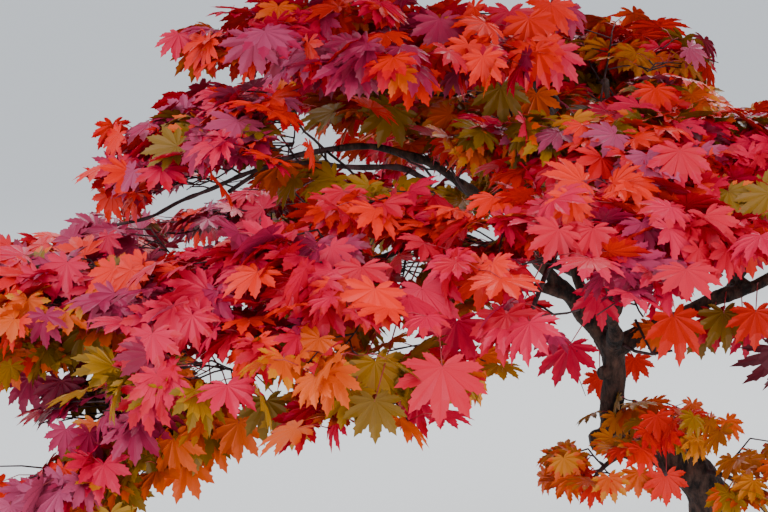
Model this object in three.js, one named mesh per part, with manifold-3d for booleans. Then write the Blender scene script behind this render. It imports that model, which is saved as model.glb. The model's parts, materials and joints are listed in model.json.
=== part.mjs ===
// A garden Japanese maple in autumn leaf: a low, wide crown of layered pads on a dog-legged trunk.
// Millimetres, +Z up. The ground is z = 0 and the origin is the middle of the trunk's flat foot.
// The crown is seen most from -Y, and the trunk leans towards -X.
import * as THREE from "three";
import { mergeVertices } from "three/addons/utils/BufferGeometryUtils.js";
import Module from "manifold-3d";

const wasm = await Module();
wasm.setup();

// Driving sizes
const GAP = 0.3; // clearance wherever two pieces meet
const LIMB_CLEAR = 1.5; // how far leaves and twigs keep from every limb
const SPACE_CLEAR = 2; // how far a pad keeps inside the planes between it and its neighbours
const SLIVER = 0.002; // edges shorter than this are closed up after a cut

// The trunk's line, bend by bend to the fork, with its radius at each. It is cut flat at z = 0.
const TRUNK = [
  { x: 0, y: 0, z: -6, radius: 45 },
  { x: 0, y: 0, z: 120, radius: 41 },
  { x: 6, y: 8, z: 280, radius: 38 },
  { x: -2, y: 4, z: 420, radius: 35 },
  { x: -26, y: 0, z: 530, radius: 30 },
  { x: -80, y: -4, z: 586, radius: 24.5 },
  { x: -138, y: 0, z: 598, radius: 22.5 },
  { x: -156, y: 3, z: 638, radius: 18 },
  { x: -155, y: 0, z: 690, radius: 15.5 },
  { x: -159, y: 0, z: 742, radius: 16.5 },
];
const FLARE = { spread: 0.62, height: 55, buttresses: 5, depth: 0.16 };
const TRUNK_SIDES = 12;
const TRUNK_RINGS = 25;
const CAP_DEPTH = 3; // how deep the grown trunk's cap sits in its top
const FORK = { x: -159, y: 0, z: 722 };

// Healed stubs of old cuts: how far along the trunk, which way they face and their size.
const STUBS = [
  { along: 0.7, azimuth: 190, rise: -12, radius: 17, length: 40 },
  { along: 0.9, azimuth: 215, rise: 5, radius: 11, length: 26 },
];

// The crown's tiers. A pad's azimuth and reach are measured round the fork (0 is +X, 90 is +Y), its
// height from the ground. half is its half length, width and height, and tilt its outward fall.
// from and along say where its bough springs, rise how steeply, and girth is a main limb's radius.
const SKIRT = { half: [310, 300, 140], tilt: 13, rise: 20 };
const SHOULDER = { half: [290, 285, 130], tilt: 8, rise: 48 };
const CROWN = { half: [295, 295, 140], tilt: 4, rise: 62 };
const PADS = [
  { name: "left_high", tier: SHOULDER, azimuth: 199, reach: 448, height: 993, half: [234, 240, 134],
    tilt: 19, from: "trunk", along: 0.97, rise: 50, girth: 13.5 },
  { name: "front", tier: SKIRT, azimuth: 255, reach: 440, height: 915, half: [310, 300, 110],
    from: "trunk", along: 0.965, rise: 34, girth: 11 },
  { name: "right", tier: SKIRT, azimuth: 352, reach: 680, height: 845, from: "trunk", along: 0.97,
    rise: 32, girth: 13 },
  { name: "back", tier: SKIRT, azimuth: 102, reach: 620, height: 868, from: "trunk", along: 0.975,
    rise: 34, girth: 12 },
  { name: "left_low", tier: SKIRT, azimuth: 208, reach: 690, height: 698, half: [200, 140, 72], tilt: 42,
    from: "left_high", along: 0.2, rise: 14 },
  { name: "left", tier: SKIRT, azimuth: 192, reach: 785, height: 805, half: [310, 290, 85],
    from: "left_low", along: 0.55, rise: 22 },
  { name: "front_left", tier: SKIRT, azimuth: 228, reach: 555, height: 848, half: [330, 310, 165],
    tilt: 23, from: "left_low", along: 0.3, rise: 24 },
  { name: "crown_left", tier: CROWN, azimuth: 199, reach: 352, height: 1092, half: [314, 300, 176],
    tilt: -2, from: "left_high", along: 0.5, girth: 8.6 },
  { name: "crown_top", tier: CROWN, azimuth: 168, reach: 310, height: 1412, from: "crown_left",
    along: 0.8, rise: 84, girth: 4.6 },
  { name: "crown_front", tier: CROWN, azimuth: 226, reach: 440, height: 1356, half: [270, 270, 125],
    from: "crown_top", along: 0.6 },
  { name: "crown_right", tier: CROWN, azimuth: 350, reach: 190, height: 1338, half: [295, 295, 125],
    from: "crown_top", along: 0.5 },
  { name: "crown_back", tier: CROWN, azimuth: 128, reach: 500, height: 1328, from: "crown_top",
    along: 0.45 },
  { name: "front_right", tier: SKIRT, azimuth: 309, reach: 600, height: 900, half: [310, 300, 120],
    from: "front", along: 0.35 },
  { name: "shoulder_front", tier: SHOULDER, azimuth: 276, reach: 190, height: 984, half: [290, 235, 130],
    from: "front", along: 0.25 },
  { name: "shoulder_right", tier: SHOULDER, azimuth: 352, reach: 350, height: 940, from: "right",
    along: 0.35 },
  { name: "right_back", tier: SKIRT, azimuth: 32, reach: 700, height: 855, from: "right", along: 0.3 },
  { name: "back_right", tier: SKIRT, azimuth: 68, reach: 675, height: 850, from: "back", along: 0.4 },
  { name: "shoulder_back", tier: SHOULDER, azimuth: 90, reach: 345, height: 1046, half: [290, 180, 125],
    from: "back", along: 0.5 },
  { name: "back_left", tier: SKIRT, azimuth: 137, reach: 655, height: 798, from: "back", along: 0.3,
    rise: 8 },
  { name: "left_back", tier: SKIRT, azimuth: 166, reach: 725, height: 760, half: [310, 300, 125],
    from: "back_left", along: 0.35, rise: 4 },
  { name: "shoulder_left", tier: SHOULDER, azimuth: 132, reach: 320, height: 1035, from: "crown_left",
    along: 0.2, rise: 30 },
];

// Leafy shoots that spring straight from the trunk's dog-leg.
const SHOOTS = [
  { name: "shoot_left", along: 0.63, azimuth: 228, reach: 94, height: 582, half: [95, 95, 66], tilt: 20 },
  { name: "shoot_bend", along: 0.66, azimuth: 288, reach: 82, height: 632, half: [100, 95, 60], tilt: 10 },
  { name: "shoot_right", along: 0.5, azimuth: 312, reach: 115, height: 568, half: [95, 95, 62], tilt: 18 },
];

// Boughs
const BOUGH_TIP = 4.2; // the most radius where a bough enters its foliage
const TIP_SHARE = 0.8; // and the most that it has of its base's
const CHILD_SHARE = 0.78; // a side bough's radius as a share of its parent's there
const TAPER = 0.7; // a bough thins sooner near its base below 1
const FALL = -6; // the slope of a bough's last stretch, in degrees
const REACH_IN = 0.34; // how much of the distance the two ends of a bough's curve pull on it
const SWAY = 0.035; // sideways wander, as a share of a bough's length
const ENTRY = 0.78; // where a bough's tip lies, as a share of the pad's half length from its middle
const INWARD = 0.6; // and the most of the pad's reach that it lies back towards the trunk

// Twigs and leaves inside a pad
const TWIG = { sides: 3, base: 5.2, end: 3.6, root: 2.6, tip: 1.2, child: 0.42, arc: 0.12, straight: 150 };
const GOLDEN = 137.5; // degrees from one leaf's place to the next, round the pad
const DOME = 0.5; // how much lower than its middle a pad's rim is, as a share of its half height
const LEAF = { count: 13, length: 180, thickness: 8, seat: 0.03 };
const SHOOT_LEAF = { count: 6, length: 62, thickness: 4.5, seat: 0.03 };
const SPARE = 7; // rounds of places tried for the leaves wanted
const LATER = 0.88; // how much smaller the leaves of each later round are
const OVERHANG = 1.16; // how much larger a pad's space is than the cushion its leaves stand on
const HUB = 0.9; // how far behind a pad's entry its leaves seem to point away from, in leaf lengths
const HANG = { least: 30, more: 24, jitter: 26, roll: 34 }; // how leaves fall and roll, in degrees
const PLACE_TRIES = 3;
const LEAF_TRIES = 12;
const LEAF_APART = 1.5; // how much larger a leaf is when it is tried against its neighbours
const STALK_ANGLE = 28; // the least angle between a leaf's blade and its stalk, in degrees
// The leaf's outline round the point where its stalk joins: degrees from the tip, and radius.
const LEAF_RIM = [
  [-106, 0.72],
  [-78, 0.58],
  [-52, 0.94],
  [-26, 0.62],
  [0, 1],
  [26, 0.62],
  [52, 0.94],
  [78, 0.58],
  [106, 0.72],
];

// Finishes: rough dark bark, and leaf tints from the sunlit top to the shaded inside.
const bark = new THREE.MeshStandardMaterial({ color: 0x2e2421, roughness: 0.9, metalness: 0 });
const tint = (color) => new THREE.MeshStandardMaterial({ color, roughness: 0.55, metalness: 0 });
const TINTS = { skirt: tint(0xd8405a), left: tint(0xb8405e), crown: tint(0xe04a48), shoot: tint(0xd9772f) };

const degrees = THREE.MathUtils.degToRad;
const vector = ({ x, y, z }) => new THREE.Vector3(x, y, z);

// Seeded numbers from 0 to 1, the same ones each time.
function seeded(seed) {
  let state = (seed * 2654435761) >>> 0;
  return () => {
    state = (Math.imul(state, 1664525) + 1013904223) >>> 0;
    return state / 4294967296;
  };
}

// A direction from its azimuth and its slope above the level, in degrees.
function heading(azimuth, slope) {
  const a = degrees(azimuth);
  const s = degrees(slope);
  return new THREE.Vector3(Math.cos(a) * Math.cos(s), Math.sin(a) * Math.cos(s), Math.sin(s));
}

// A three.js geometry as a closed solid that can be cut and joined.
function solidOf(geometry) {
  const bare = geometry.clone();
  bare.deleteAttribute("normal");
  bare.deleteAttribute("uv");
  const merged = mergeVertices(bare, 1e-4);
  return new wasm.Manifold(
    new wasm.Mesh({
      numProp: 3,
      vertProperties: new Float32Array(merged.getAttribute("position").array),
      triVerts: new Uint32Array(merged.index.array),
    }),
  );
}

// The largest single body of a solid, once slivers finer than its edges' rounding have gone.
function largest(solid) {
  return solid.simplify(SLIVER).decompose().reduce((a, b) => (b.volume() > a.volume() ? b : a));
}

function namedMesh(name, solid, origin, material) {
  const { vertProperties, triVerts } = solid.getMesh();
  const geometry = new THREE.BufferGeometry();
  geometry.setAttribute("position", new THREE.BufferAttribute(new Float32Array(vertProperties), 3));
  geometry.setIndex(new THREE.BufferAttribute(new Uint32Array(triVerts), 1));
  geometry.translate(-origin.x, -origin.y, -origin.z);
  geometry.computeVertexNormals();
  const mesh = new THREE.Mesh(geometry, material);
  mesh.name = name;
  mesh.position.copy(origin);
  return mesh;
}

// A cylinder bent along a curve, with the radius that radiusAt gives for a share and an angle.
function bentTube(curve, radiusAt, sides, rings) {
  const frames = [];
  let side = new THREE.Vector3(1, 0, 0);
  for (let ring = 0; ring <= rings; ring++) {
    const tangent = curve.getTangent(ring / rings);
    if (Math.abs(side.dot(tangent)) > 0.9) side = new THREE.Vector3(0, 1, 0);
    side = side.clone().addScaledVector(tangent, -side.dot(tangent)).normalize();
    const across = side.clone().cross(tangent);
    frames.push({ middle: curve.getPoint(ring / rings), side, across });
  }
  const geometry = new THREE.CylinderGeometry(1, 1, 1, sides, rings);
  const places = geometry.getAttribute("position");
  for (let i = 0; i < places.count; i++) {
    const share = places.getY(i) + 0.5;
    const { middle, side: along, across } = frames[Math.round(share * rings)];
    const radius = radiusAt(share, Math.atan2(places.getZ(i), places.getX(i)));
    const place = middle
      .clone()
      .addScaledVector(along, places.getX(i) * radius)
      .addScaledVector(across, places.getZ(i) * radius);
    places.setXYZ(i, place.x, place.y, place.z);
  }
  return geometry;
}

// Trunk
const trunkCurve = new THREE.CatmullRomCurve3(TRUNK.map(vector), false, "catmullrom", 0.5);

function trunkRadius(share) {
  const at = share * (TRUNK.length - 1);
  const low = Math.min(Math.floor(at), TRUNK.length - 2);
  return THREE.MathUtils.lerp(TRUNK[low].radius, TRUNK[low + 1].radius, at - low);
}

// The trunk's skin: its taper, the root flare with its buttresses, and old bark's lumps.
function trunkSkin(share, angle) {
  const height = trunkCurve.getPoint(share).z;
  const flare = FLARE.spread * Math.exp(-height / FLARE.height);
  const buttress = 1 + FLARE.depth * Math.cos(FLARE.buttresses * angle + 0.6) * Math.exp(-height / 90);
  const lumps = 1 + 0.05 * Math.sin(3 * angle + 23 * share) + 0.04 * Math.sin(2 * angle - 41 * share);
  return trunkRadius(share) * (1 + flare) * buttress * lumps;
}

function stubSolid({ along, azimuth, rise, radius, length }) {
  const foot = trunkCurve.getPoint(along);
  const line = new THREE.LineCurve3(foot, foot.clone().addScaledVector(heading(azimuth, rise), length));
  const skin = (share) => radius * (1.15 - 0.35 * share);
  return solidOf(bentTube(line, skin, 8, 2));
}

// The trunk, or a copy of it grown by extra all round and over its top.
function trunkSolid(extra) {
  const skin = (share, angle) => trunkSkin(share, angle) + extra;
  const trunk = solidOf(bentTube(trunkCurve, skin, TRUNK_SIDES, TRUNK_RINGS)).trimByPlane([0, 0, 1], 0);
  if (!extra) return trunk;
  const top = trunkCurve.getPoint(1);
  const upwards = trunkCurve.getTangent(1);
  const low = top.clone().addScaledVector(upwards, -CAP_DEPTH);
  const cap = new THREE.LineCurve3(low, top.clone().addScaledVector(upwards, extra));
  return trunk.add(solidOf(bentTube(cap, () => trunkRadius(1) * 1.1 + extra, TRUNK_SIDES, 1)));
}

// The pads' spaces: each is a tilted ellipsoid, cut off by planes between it and its neighbours.
function padSpace(row, start, number) {
  const half = row.half ?? row.tier.half;
  const out = heading(row.azimuth, -(row.tilt ?? row.tier.tilt));
  const across = heading(row.azimuth + 90, 0);
  const up = out.clone().cross(across);
  const middle = new THREE.Vector3(start.x, start.y, 0).addScaledVector(heading(row.azimuth, 0), row.reach);
  middle.z = row.height;
  return { ...row, number, half, middle, axes: [out, across, up], planes: [] };
}

// How far a space's ellipsoid reaches from its middle towards a direction.
function extent(space, direction) {
  const [a, b, c] = space.axes.map((axis, i) => direction.dot(axis) * space.half[i]);
  return Math.hypot(a, b, c);
}

function divide(spaces) {
  for (const space of spaces)
    for (const other of spaces) {
      if (other === space) continue;
      const normal = other.middle.clone().sub(space.middle);
      const distance = normal.length();
      normal.divideScalar(distance);
      const mine = extent(space, normal);
      const share = mine / (mine + extent(other, normal));
      const offset = normal.dot(space.middle) + distance * share - SPACE_CLEAR;
      space.planes.push({ normal, offset });
    }
}

// A pad's own shape is a rounded cushion, so its powers are higher than an ellipsoid's.
function inside(space, point) {
  const from = point.clone().sub(space.middle);
  const [a, b, c] = space.axes.map((axis, i) => from.dot(axis) / (space.half[i] * OVERHANG));
  return (a * a + b * b) ** 2 + c ** 4 < 1 && space.planes.every((p) => point.dot(p.normal) < p.offset);
}

// How far a point can go in a direction before it leaves the space.
function wayOut(space, point, direction) {
  let low = 0;
  let high = 2 * Math.max(...space.half);
  for (let i = 0; i < 14; i++) {
    const middle = (low + high) / 2;
    if (inside(space, point.clone().addScaledVector(direction, middle))) low = middle;
    else high = middle;
  }
  return low;
}

// Where a bough's tip meets its pad's stem: on the pad's axis, at the side of the crown's middle,
// and moved in until it is inside the space.
function entryOf(space) {
  for (let share = Math.min(ENTRY, (INWARD * space.reach) / space.half[0]); share > 0; share -= 0.05) {
    const point = space.middle.clone().addScaledVector(space.axes[0], -share * space.half[0]);
    if (inside(space, point)) return point;
  }
  return space.middle.clone();
}

const spaces = PADS.map((row, i) => padSpace(row, FORK, i));
const shootSpaces = SHOOTS.map((row, i) => padSpace(row, trunkCurve.getPoint(row.along), PADS.length + i));
divide([...spaces, ...shootSpaces]);

// Boughs
const limbs = new Map([["trunk", { curve: trunkCurve, radiusAt: trunkRadius, sides: TRUNK_SIDES }]]);

function boughCurve(start, end, rise, sway, facing) {
  const span = end.distanceTo(start);
  const azimuth = THREE.MathUtils.radToDeg(Math.atan2(end.y - start.y, end.x - start.x));
  const aside = heading(azimuth + 90, 0);
  const first = start.clone().addScaledVector(heading(azimuth, rise), span * REACH_IN);
  const last = end.clone().addScaledVector(heading(facing, FALL), -span * REACH_IN);
  first.addScaledVector(aside, sway * span);
  return new THREE.CubicBezierCurve3(start, first, last, end);
}

for (const space of spaces) {
  const parent = limbs.get(space.from);
  const start = parent.curve.getPoint(space.along);
  const sway = SWAY * (space.number % 2 ? 1 : -1) * 2;
  const curve = boughCurve(start, entryOf(space), space.rise ?? space.tier.rise, sway, space.azimuth);
  const base = space.girth ?? CHILD_SHARE * parent.radiusAt(space.along);
  const tip = Math.min(BOUGH_TIP, TIP_SHARE * base);
  const radiusAt = (share) => THREE.MathUtils.lerp(base, tip, share ** TAPER);
  limbs.set(space.name, { curve, radiusAt, sides: space.girth ? 7 : 5 });
}

// A bough, or a copy of it grown by extra all round and past its tip.
function limbSolid({ curve, radiusAt, sides }, extra) {
  const knobbly = (share, angle) => radiusAt(share) * (1 + 0.06 * Math.sin(2 * angle + 37 * share)) + extra;
  const rings = Math.max(4, Math.min(8, Math.round(curve.getLength() / 65)));
  const limb = solidOf(bentTube(curve, knobbly, sides, rings));
  if (!extra) return limb;
  const end = curve.getPoint(1);
  const past = new THREE.LineCurve3(end, end.clone().addScaledVector(curve.getTangent(1), extra));
  return limb.add(solidOf(bentTube(past, () => radiusAt(1) * 1.06 + extra, sides, 1)));
}

const group = new THREE.Group();
let taken = trunkSolid(GAP); // everything built so far, grown by the clearance
let near = trunkSolid(LIMB_CLEAR);
let trunk = trunkSolid(0);
for (const stub of STUBS) {
  trunk = trunk.add(stubSolid(stub));
  const grown = stubSolid({ ...stub, radius: stub.radius + LIMB_CLEAR, length: stub.length + LIMB_CLEAR });
  taken = taken.add(grown);
  near = near.add(grown);
}
group.add(namedMesh("trunk", trunk, new THREE.Vector3(), bark));

for (const space of spaces) {
  const limb = limbs.get(space.name);
  const solid = largest(limbSolid(limb, 0).subtract(taken));
  taken = taken.add(limbSolid(limb, GAP));
  near = near.add(limbSolid(limb, LIMB_CLEAR));
  group.add(namedMesh("bough_" + space.name, solid, limb.curve.getPoint(0), bark));
}

// Foliage
// A double cone with a side for each point of the leaf's outline.
function leafSolid(palm, towards, normal, { length, thickness }) {
  const geometry = new THREE.SphereGeometry(1, LEAF_RIM.length, 2);
  const aside = normal.clone().cross(towards);
  const places = geometry.getAttribute("position");
  const columns = LEAF_RIM.length + 1;
  const corners = [];
  for (let i = 0; i < places.count; i++) {
    const row = Math.floor(i / columns);
    const [angle, radius] = row === 1 ? LEAF_RIM[(i % columns) % LEAF_RIM.length] : [0, 0];
    const place = palm
      .clone()
      .addScaledVector(towards, Math.cos(degrees(angle)) * radius * length)
      .addScaledVector(aside, Math.sin(degrees(angle)) * radius * length)
      .addScaledVector(normal, ((1 - row) * thickness) / 2);
    places.setXYZ(i, place.x, place.y, place.z);
    corners.push(place);
  }
  return { solid: solidOf(geometry), corners };
}

const azimuthOf = (d) => THREE.MathUtils.radToDeg(Math.atan2(d.y, d.x));

// The leaves' places in a pad: round it by the golden angle from its middle to its rim, on a dome,
// every third one in a lower layer, with spare ones. Each round of them is sorted from the pad's
// entry outwards. A leaf lies outwards of its place, so the places are set back from the outer rim.
function leafPlaces(space, start, leaf, random) {
  const [out, across, up] = space.axes;
  const middle = space.middle.clone().addScaledVector(out, -0.34 * leaf.length);
  const places = [];
  for (let i = 0; i < leaf.count * SPARE; i++) {
    const turn = degrees(i * GOLDEN + 25 * (random() - 0.5));
    const share = Math.sqrt(((i % leaf.count) + 0.5) / leaf.count);
    const height = 0.72 - DOME * share - (i % 3 === 2 ? 0.5 : 0) + 0.25 * (random() - 0.5);
    const place = middle
      .clone()
      .addScaledVector(out, Math.cos(turn) * share * (space.half[0] - 0.4 * leaf.length))
      .addScaledVector(across, Math.sin(turn) * share * (space.half[1] - 0.5 * leaf.length))
      .addScaledVector(up, height * space.half[2]);
    const round = Math.floor(i / leaf.count);
    places.push({ place, size: LATER ** round, order: place.distanceTo(start) + 1000 * round });
  }
  return places.sort((a, b) => a.order - b.order);
}

// How far out on its pad a point is, from 0 at the middle to 1 at the rim.
function outness(space, point) {
  const from = point.clone().sub(space.middle);
  const [a, b] = space.axes.map((axis, i) => from.dot(axis) / space.half[i]);
  return Math.min(1, Math.hypot(a, b));
}

// The point of a pad's wood that a new twig springs from: the nearest, but sooner one further in.
function springing(wood, place, start) {
  let best;
  for (const twig of wood) {
    const spans = twig.points.length - 1;
    for (let share = 0.15; share < 0.8; share += 0.08) {
      const at = Math.floor(share * spans);
      const point = twig.points[at].clone().lerp(twig.points[at + 1], share * spans - at);
      const cost = point.distanceTo(place) + 0.5 * point.distanceTo(start);
      const girth = THREE.MathUtils.lerp(twig.base, twig.tip, share);
      if (!best || cost < best.cost) best = { cost, point, girth, parent: twig };
    }
  }
  return best;
}

// Whether a shoot's foot, a short piece of its stem, still cuts into the limbs' clearance.
function footTouches(foot, first) {
  const piece = twigThrough([foot, foot.clone().addScaledVector(first, 4)], TWIG.base, TWIG.base);
  return piece.solid.intersect(taken).volume() > 0;
}

// A straight-sided twig through a line of evenly spaced points.
function twigThrough(points, base, tip) {
  const path = new THREE.CurvePath();
  for (let i = 1; i < points.length; i++) path.add(new THREE.LineCurve3(points[i - 1], points[i]));
  const skin = (share) => THREE.MathUtils.lerp(base, tip, share);
  return { points, base, tip, solid: solidOf(bentTube(path, skin, TWIG.sides, points.length - 1)) };
}

function growPad(space, start, first, leaf) {
  const random = seeded(space.number + 101);
  const jitter = (size) => size * (random() - 0.5);
  const [out, across, up] = space.axes;
  const stemEnd = start.clone().addScaledVector(out, wayOut(space, start, out) * 0.55);
  const crest = start.clone().addScaledVector(first, stemEnd.distanceTo(start) * 0.5);
  const wood = [twigThrough([start, crest, stemEnd], TWIG.base, TWIG.end)];
  const hub = start.clone().addScaledVector(out, -HUB * leaf.length);
  const blades = [];
  const touches = (solid, others) => others.some((other) => solid.intersect(other).volume() > 0);

  // Turns and tips a leaf on its stalk until it lies clear of the limbs, twigs and other leaves.
  const leafAt = (seat, along, size) => {
    for (let attempt = 0; attempt < LEAF_TRIES; attempt++) {
      const slope = -(HANG.least + HANG.more * outness(space, seat)) + jitter(HANG.jitter + 4 * attempt);
      const azimuth = azimuthOf(seat.clone().sub(hub)) + jitter(40 + 16 * attempt);
      const towards = heading(azimuth, slope);
      const level = towards.clone().cross(new THREE.Vector3(0, 0, 1)).normalize();
      const roll = degrees(jitter(HANG.roll + 6 * attempt));
      const normal = level.cross(towards).applyAxisAngle(towards, roll);
      if (Math.abs(along.dot(normal)) < Math.sin(degrees(STALK_ANGLE)) || along.dot(towards) < 0.2) continue;
      const length = leaf.length * size * (1.06 - 0.04 * attempt + jitter(0.1));
      const palm = seat.clone().addScaledVector(towards, length * leaf.seat);
      const { solid, corners } = leafSolid(palm, towards, normal, { length, thickness: leaf.thickness });
      if (!corners.every((corner) => inside(space, corner))) continue;
      const wider = { length: length + LEAF_APART, thickness: leaf.thickness + LEAF_APART };
      const grown = leafSolid(palm, towards, normal, wider).solid;
      if (!touches(grown, [near, ...blades, ...wood.map((twig) => twig.solid)])) return solid;
    }
  };

  const growLeaf = (place, size) => {
    const { point, girth, parent } = springing(wood, place, start);
    const span = place.distanceTo(point);
    const bend = point.clone().lerp(place, 0.5).addScaledVector(up, -TWIG.arc * span);
    const points = span > TWIG.straight ? [point, bend, place] : [point, place];
    const twig = twigThrough(points, Math.max(TWIG.tip, Math.min(TWIG.root, TWIG.child * girth)), TWIG.tip);
    const others = wood.filter((other) => other !== parent).map((other) => other.solid);
    if (touches(twig.solid, [near, ...blades, ...others])) return false;
    const along = place.clone().sub(points[points.length - 2]).normalize();
    const blade = leafAt(place, along, size);
    if (!blade) return false;
    wood.push(twig);
    blades.push(blade);
    return true;
  };

  for (const { place, size } of leafPlaces(space, start, leaf, random))
    for (let attempt = 0; attempt < PLACE_TRIES && blades.length < leaf.count; attempt++) {
      const moved = place.clone().lerp(space.middle, 0.05 * attempt);
      moved.addScaledVector(up, jitter(14 * attempt)).addScaledVector(across, jitter(16 * attempt));
      if (inside(space, moved) && growLeaf(moved, size)) break;
    }
  const all = wasm.Manifold.union([...wood.map((twig) => twig.solid), ...blades]);
  return largest(all);
}

function tintOf(space) {
  if (space.name.startsWith("shoot")) return TINTS.shoot;
  if (space.name.startsWith("left")) return TINTS.left;
  return space.tier === SKIRT ? TINTS.skirt : TINTS.crown;
}

function addFoliage(space, start, first, leaf) {
  const foliage = growPad(space, start, first, leaf);
  group.add(namedMesh("foliage_" + space.name, foliage, start, tintOf(space)));
}

// A pad's stem carries on in its bough's line.
for (const space of spaces) {
  const { curve } = limbs.get(space.name);
  const first = curve.getTangent(1);
  addFoliage(space, curve.getPoint(1).addScaledVector(first, GAP), first, LEAF);
}

// A shoot's stem stands on the trunk's skin.
for (const space of shootSpaces) {
  const foot = trunkCurve.getPoint(space.along);
  const first = space.middle.clone().sub(foot).normalize();
  const ray = (reach) => foot.clone().addScaledVector(first, reach);
  let reach = 0;
  while (reach < 60 && footTouches(ray(reach), first)) reach += 0.2;
  addFoliage(space, ray(reach + 0.1), first, SHOOT_LEAF);
}

export default group;
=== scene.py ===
import json
import math

import bpy
import numpy as np
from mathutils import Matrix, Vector, kdtree, noise

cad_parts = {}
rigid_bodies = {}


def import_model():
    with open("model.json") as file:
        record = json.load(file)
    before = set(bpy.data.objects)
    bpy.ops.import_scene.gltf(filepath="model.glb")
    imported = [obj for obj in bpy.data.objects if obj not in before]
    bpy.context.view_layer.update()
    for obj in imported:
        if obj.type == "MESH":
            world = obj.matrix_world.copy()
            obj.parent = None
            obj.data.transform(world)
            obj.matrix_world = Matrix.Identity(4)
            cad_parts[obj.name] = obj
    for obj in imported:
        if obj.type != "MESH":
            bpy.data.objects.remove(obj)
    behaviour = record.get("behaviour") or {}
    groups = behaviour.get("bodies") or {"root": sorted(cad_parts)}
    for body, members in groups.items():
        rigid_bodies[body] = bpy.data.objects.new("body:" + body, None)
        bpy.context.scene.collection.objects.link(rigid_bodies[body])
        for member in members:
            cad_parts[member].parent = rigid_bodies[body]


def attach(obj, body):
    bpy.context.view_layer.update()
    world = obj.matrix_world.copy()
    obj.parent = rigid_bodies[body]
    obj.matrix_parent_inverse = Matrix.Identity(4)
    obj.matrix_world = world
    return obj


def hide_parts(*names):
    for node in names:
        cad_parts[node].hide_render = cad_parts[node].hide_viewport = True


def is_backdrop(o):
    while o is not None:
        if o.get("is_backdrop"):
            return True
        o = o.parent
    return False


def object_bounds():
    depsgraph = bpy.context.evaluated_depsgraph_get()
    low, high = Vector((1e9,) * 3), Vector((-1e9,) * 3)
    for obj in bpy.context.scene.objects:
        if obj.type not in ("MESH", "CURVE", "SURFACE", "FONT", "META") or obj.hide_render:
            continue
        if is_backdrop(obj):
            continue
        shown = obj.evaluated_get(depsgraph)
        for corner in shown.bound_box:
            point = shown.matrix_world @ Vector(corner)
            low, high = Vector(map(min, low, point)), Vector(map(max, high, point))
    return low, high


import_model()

cad_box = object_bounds()

# Trunk: x, y, z and radius, bend by bend to the fork.
TRUNK = [
    (0.000, 0.000, -0.006, 0.045),
    (0.000, 0.000, 0.120, 0.041),
    (0.006, 0.008, 0.280, 0.038),
    (-0.002, 0.004, 0.420, 0.035),
    (-0.026, 0.000, 0.530, 0.030),
    (-0.080, -0.004, 0.586, 0.0245),
    (-0.138, 0.000, 0.598, 0.0225),
    (-0.156, 0.003, 0.638, 0.0180),
    (-0.155, 0.000, 0.690, 0.0155),
    (-0.159, 0.000, 0.742, 0.0165),
]
FLARE = {"spread": 0.62, "height": 0.055, "buttresses": 5, "depth": 0.16}
FORK = np.array([-0.159, 0.0, 0.722])
# Healed stubs of old cuts, and lumps of callus: along is the share of the trunk below each.
STUBS = [
    {"along": 0.7, "azimuth": 190, "rise": -12, "radius": 0.017, "length": 0.040},
    {"along": 0.9, "azimuth": 215, "rise": 5, "radius": 0.011, "length": 0.026},
]
LUMPS = [
    {"along": 0.975, "azimuth": 236, "rise": 20, "radius": 0.008, "length": 0.021},
    {"along": 0.985, "azimuth": 205, "rise": 42, "radius": 0.007, "length": 0.024},
    {"along": 0.96, "azimuth": 275, "rise": 8, "radius": 0.007, "length": 0.019},
    {"along": 0.74, "azimuth": 225, "rise": 10, "radius": 0.010, "length": 0.024},
]

# The crown's tiers and pads, round the fork: azimuth in degrees (0 is +X, 90 is +Y), reach and
# height in metres, and half the pad's length, width and height.
SKIRT = {"name": "skirt", "half": (0.310, 0.300, 0.140), "tilt": 13, "rise": 20, "lower": (2, 4)}
SHOULDER = {"name": "shoulder", "half": (0.290, 0.285, 0.130), "tilt": 8, "rise": 48, "lower": (2,)}
CROWN = {"name": "crown", "half": (0.295, 0.295, 0.140), "tilt": 4, "rise": 62, "lower": (2,)}


def pad(name, tier, azimuth, reach, height, parent, along, **own):
    place = {"azimuth": azimuth, "reach": reach, "height": height}
    return {**tier, "name": name, "tier": tier["name"], **place, "parent": parent, "along": along, **own}


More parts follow.
